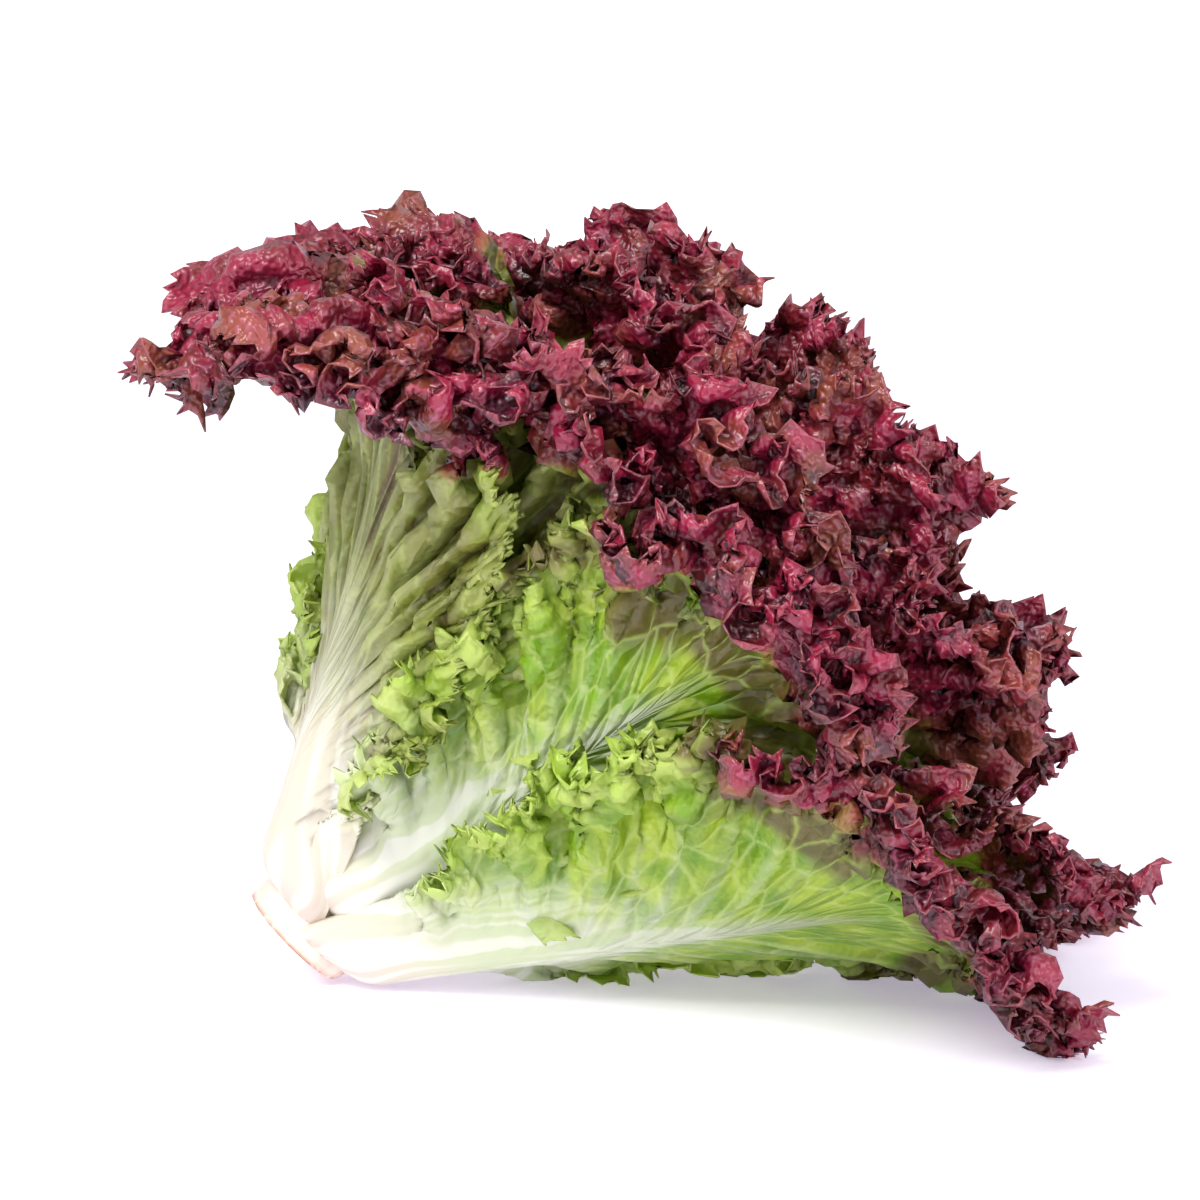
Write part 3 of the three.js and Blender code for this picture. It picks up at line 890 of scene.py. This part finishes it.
def build_stem(name):
    """The cut stem: a flat cut face, a tapered body that swells at each leaf's foot, and a round tip.

    Each swelling is a bell curve round the stem and along it, and noise makes the skin uneven.
    """
    turns = np.linspace(0, 2 * math.pi, 160, endpoint=False)[:, None]
    heights = np.linspace(0, STEM_LENGTH, 60)[None, :]
    radius = stem_radius(heights) + 0.9 * MM * np.ones_like(turns)
    for index in range(LEAF_COUNT):
        plan = leaf_plan(index)
        beside = np.abs((turns - plan.direction + math.pi) % (2 * math.pi) - math.pi)
        above = (heights - plan.foot - 1 * MM) / (5 * MM)
        radius = radius + 1.6 * MM * np.exp(-((beside / 0.6) ** 2) - above**2)
    radius = radius + 0.25 * MM * noise(turns * 9, heights / (14 * MM), 5)
    points = (
        CUT_CENTRE
        + AXIS * np.broadcast_to(heights, radius.shape)[..., None]
        + UPWARD * (radius * np.cos(turns))[..., None]
        + FRONTWARD * (radius * np.sin(turns))[..., None]
    )
    points = rest_on_floor(points)
    rings = np.array([0.12, 0.35, 0.6, 0.85])[None, :, None]
    cut = points[:, :1] * rings + CUT_CENTRE * (1 - rings)
    grid = np.concatenate([cut, points], axis=1)
    columns, rows = grid.shape[:2]
    left = np.arange(columns)[:, None]
    right = (left + 1) % columns
    row = np.arange(rows - 1)[None, :]
    a, b, c, d = left * rows + row, right * rows + row, right * rows + row + 1, left * rows + row + 1
    faces = np.concatenate([
        np.stack([a, b, c], 2).reshape(-1, 3),
        np.stack([a, c, d], 2).reshape(-1, 3),
    ])
    centre, tip = columns * rows, columns * rows + 1
    ring = np.arange(columns)
    after = (ring + 1) % columns
    caps = np.concatenate([
        np.stack([after * rows, ring * rows, np.full(columns, centre)], 1),
        np.stack([ring * rows + rows - 1, after * rows + rows - 1, np.full(columns, tip)], 1),
    ])
    tip_point = CUT_CENTRE + AXIS * (STEM_LENGTH + STEM_TIP_RADIUS)
    everything = np.concatenate([grid.reshape(-1, 3), CUT_CENTRE[None], tip_point[None]])
    piece = new_mesh_object(name, everything, np.concatenate([faces, caps]))
    height = (everything - CUT_CENTRE) @ AXIS
    away = np.linalg.norm(everything - CUT_CENTRE - height[:, None] * AXIS, axis=1)
    rim = smooth(away, 0.7 * STEM_CUT_RADIUS, STEM_CUT_RADIUS) * (1 - smooth(height, 0, 1.5 * MM))
    store(piece.data, "rim", rim)
    return piece


def leaf_ring(index):
    """Which ring of the head a leaf is in."""
    rank = index / (LEAF_COUNT - 1)
    if rank < 0.45:
        return "outer"
    return "middle" if rank < 0.8 else "heart"


def build_ring(ring, material):
    """Builds the leaves of one ring. Each one stands for its CAD node."""
    settings = bpy.context.scene.lettuce_leaf
    for index in range(LEAF_COUNT):
        if leaf_ring(index) != ring:
            continue
        node = f"{ring}_leaf_{index + 1:02d}"
        leaf = build_leaf(f"{node}_frilled", leaf_plan(index), settings)
        leaf.data.materials.append(material)
        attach(leaf, "root")
        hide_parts(node)


# ---------------------------------------------------------------- settings


def length_property(name, description, default):
    return bpy.props.FloatProperty(name=name, description=description, default=default, unit="LENGTH")


def colour_property(name, description, default):
    return bpy.props.FloatVectorProperty(
        name=name, description=description, default=default[:3], subtype="COLOR", size=3)


class LeafSettings(bpy.types.PropertyGroup):
    """Sizes of a leaf's frill and shell, and its main colours."""

    roll_height: length_property("Roll height", "How far the margin turns outwards", 4 * MM)
    lobe_height: length_property("Lobe height", "Height of the crumpled lobes of the frill", 2.4 * MM)
    fold_height: length_property(
        "Fold height", "How far the broad folds of the margin stand to each side", 6.5 * MM)
    ruffle_height: length_property(
        "Ruffle height", "How far the ruffles on those folds stand to each side", 2.5 * MM)
    crimp_height: length_property(
        "Crimp height", "How far the smallest waves of the margin stand to each side", 0.9 * MM)
    tooth_length: length_property("Tooth length", "Length of the longest teeth", 3.1 * MM)
    blade_thickness: length_property("Blade thickness", "Thickness of the leaf beside its rib", 1.2 * MM)
    frill_thickness: length_property("Frill thickness", "Thickness of the leaf in the frill", 0.4 * MM)
    blade_colour: colour_property("Blade colour", "The green of the lower leaves' blades", tone(138, 184, 22))
    flesh_colour: colour_property("Flesh colour", "The white of the base and the ribs", tone(230, 233, 216))
    frill_colour: colour_property("Frill colour", "The red of the frill's crests", tone(150, 26, 60))
    # The shade colour is painted shade, the deep red that the frill's recesses are darkened to.
    shade_colour: colour_property("Shade colour", "The dark red inside the frill", tone(66, 6, 30))


class StageSettings(bpy.types.PropertyGroup):
    """The camera, the floor and the light."""

    camera_distance: length_property("Camera distance", "From the head to the camera", 1.05)
    camera_elevation: bpy.props.FloatProperty(
        name="Camera elevation", description="How far above the horizon the camera stands",
        default=math.radians(8), unit="ROTATION")
    frame_width: length_property("Frame width", "Width of the view at the head", 0.284)
    floor_colour: colour_property("Floor colour", "Colour of the floor", (0.9, 0.87, 0.95))
    light_power: bpy.props.FloatProperty(
        name="Light power", description="Power of the main light in watts",
        default=22.0)


# ---------------------------------------------------------------- operators


class LETTUCE_OT_stem(bpy.types.Operator):
    """Makes the cut stem"""

    bl_idname = "lettuce.stem"
    bl_label = "Cut Stem"

    def execute(self, context):
        stem = build_stem("cut_stem_flesh")
        stem.data.materials.append(stem_material())
        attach(stem, "root")
        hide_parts("cut_stem")
        return {"FINISHED"}


class LETTUCE_OT_outer_leaves(bpy.types.Operator):
    """Makes the large outer leaves"""

    bl_idname = "lettuce.outer_leaves"
    bl_label = "Outer Leaves"

    def execute(self, context):
        build_ring("outer", leaf_material("outer_leaf"))
        return {"FINISHED"}


class LETTUCE_OT_middle_leaves(bpy.types.Operator):
    """Makes the upright leaves inside them"""

    bl_idname = "lettuce.middle_leaves"
    bl_label = "Middle Leaves"

    def execute(self, context):
        build_ring("middle", leaf_material("middle_leaf"))
        return {"FINISHED"}


class LETTUCE_OT_heart_leaves(bpy.types.Operator):
    """Makes the young leaves of the heart"""

    bl_idname = "lettuce.heart_leaves"
    bl_label = "Heart Leaves"

    def execute(self, context):
        build_ring("heart", leaf_material("heart_leaf_skin"))
        return {"FINISHED"}


class LETTUCE_OT_stage(bpy.types.Operator):
    """Makes the floor, the lights and the camera"""

    bl_idname = "lettuce.stage"
    bl_label = "Stage"

    def execute(self, context):
        settings = context.scene.lettuce_stage
        make_floor(settings)
        make_lights(settings)
        make_camera(settings)
        return {"FINISHED"}


def make_floor(settings):
    """A wide floor that curves up through a quarter circle into a backdrop behind the head."""
    across = np.linspace(-4, 4, 9)[:, None]
    walk = np.linspace(0, 1, 40)[None, :]
    turn = np.clip((walk - 0.5) / 0.3, 0, 1) * math.pi / 2
    depth = np.where(walk < 0.5, lerp(-3, 4, walk / 0.5), 4 + 1.5 * np.sin(turn))
    lift = np.where(walk < 0.5, 0, 1.5 * (1 - np.cos(turn))) + np.clip(walk - 0.8, 0, 1) * 15
    shape = (across.shape[0], walk.shape[1])
    points = np.stack([np.broadcast_to(across, shape), np.broadcast_to(depth, shape),
                       np.broadcast_to(lift, shape)], 2)
    rows = shape[1]
    left, row = np.arange(shape[0] - 1)[:, None], np.arange(rows - 1)[None, :]
    a = (left * rows + row).ravel()
    faces = np.stack([a, a + rows, a + rows + 1, a + 1], 1)
    floor = new_mesh_object("floor", points.reshape(-1, 3), faces)
    s = Shader("floor_paper")
    place = s.node("ShaderNodeTexCoord").outputs["Object"]
    far = s.number("ShaderNodeSeparateXYZ", {}, {"Vector": place}, out="Y")
    glow = s.mix(far.step(0.3, 3.5), (0.34, 0.31, 0.39, 1), (0.75, 0.75, 0.75, 1))
    surface = s.node("ShaderNodeBsdfPrincipled", {}, {
        "Base Color": (*settings.floor_colour, 1), "Roughness": 0.8, "Specular IOR Level": 0.0,
        "Emission Color": glow, "Emission Strength": 1,
    })
    s.output(surface.outputs[0])
    s.material.cycles.emission_sampling = "NONE"
    floor.data.materials.append(s.material)


def add_area_light(name, place, aim, size, power):
    """A round white light that faces its aim."""
    light = bpy.data.lights.new(name, "AREA")
    light.shape = "DISK"
    light.size = size
    light.energy = power
    lamp = bpy.data.objects.new(name, light)
    bpy.context.scene.collection.objects.link(lamp)
    lamp.location = place
    way = np.array(aim) - np.array(place)
    lamp.rotation_euler = Vector(way).to_track_quat("-Z", "Y").to_euler()


def make_lights(settings):
    """A white world, a large soft light above the front left, and a weaker one from the right."""
    world = bpy.data.worlds.new("studio")
    world.use_nodes = True
    background = world.node_tree.nodes["Background"]
    background.inputs["Color"].default_value = (1, 1, 1, 1)
    background.inputs["Strength"].default_value = 0.62
    bpy.context.scene.world = world
    middle = (0, 0, 0.09)
    add_area_light("key_light", (-0.5, -0.9, 1.1), middle, 0.7, settings.light_power)
    add_area_light("fill_light", (0.9, -0.7, 0.6), middle, 0.8, settings.light_power * 0.3)
    bpy.context.scene.view_settings.view_transform = "Standard"


def make_camera(settings):
    """Aims at the middle of the view from the front, a few degrees above the horizon."""
    camera = bpy.data.cameras.new("camera")
    camera.sensor_width = 36
    camera.lens = 36 * settings.camera_distance / settings.frame_width
    eye = bpy.data.objects.new("camera", camera)
    bpy.context.scene.collection.objects.link(eye)
    aim = np.array([CUT_CENTRE[0] + 73 * MM, CUT_CENTRE[1], CUT_CENTRE[2] + 81 * MM])
    lift = settings.camera_elevation
    back = np.array([0, -math.cos(lift), math.sin(lift)])
    eye.location = aim + back * settings.camera_distance
    eye.rotation_euler = (math.pi / 2 - lift, 0, 0)
    camera.clip_start = 0.05
    camera.clip_end = 50
    bpy.context.scene.camera = eye


class LETTUCE_PT_panel(bpy.types.Panel):
    """Lists the pieces and their settings"""

    bl_idname = "LETTUCE_PT_panel"
    bl_label = "Lettuce"
    bl_space_type = "VIEW_3D"
    bl_region_type = "UI"
    bl_category = "Lettuce"

    def draw(self, context):
        for settings in (context.scene.lettuce_leaf, context.scene.lettuce_stage):
            box = self.layout.box()
            for name in settings.__annotations__:
                box.prop(settings, name)
        for operator in OPERATORS:
            self.layout.operator(operator.bl_idname)


OPERATORS = (
    LETTUCE_OT_stem,
    LETTUCE_OT_outer_leaves,
    LETTUCE_OT_middle_leaves,
    LETTUCE_OT_heart_leaves,
    LETTUCE_OT_stage,
)
CLASSES = (LeafSettings, StageSettings, *OPERATORS, LETTUCE_PT_panel)


def register():
    for each in CLASSES:
        bpy.utils.register_class(each)
    bpy.types.Scene.lettuce_leaf = bpy.props.PointerProperty(type=LeafSettings)
    bpy.types.Scene.lettuce_stage = bpy.props.PointerProperty(type=StageSettings)


def unregister():
    del bpy.types.Scene.lettuce_stage
    del bpy.types.Scene.lettuce_leaf
    for each in reversed(CLASSES):
        bpy.utils.unregister_class(each)


def main():
    register()
    bpy.ops.lettuce.stage()
    bpy.ops.lettuce.stem()
    bpy.ops.lettuce.outer_leaves()
    bpy.ops.lettuce.middle_leaves()
    bpy.ops.lettuce.heart_leaves()
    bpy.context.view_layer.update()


if __name__ == "__main__":
    main()
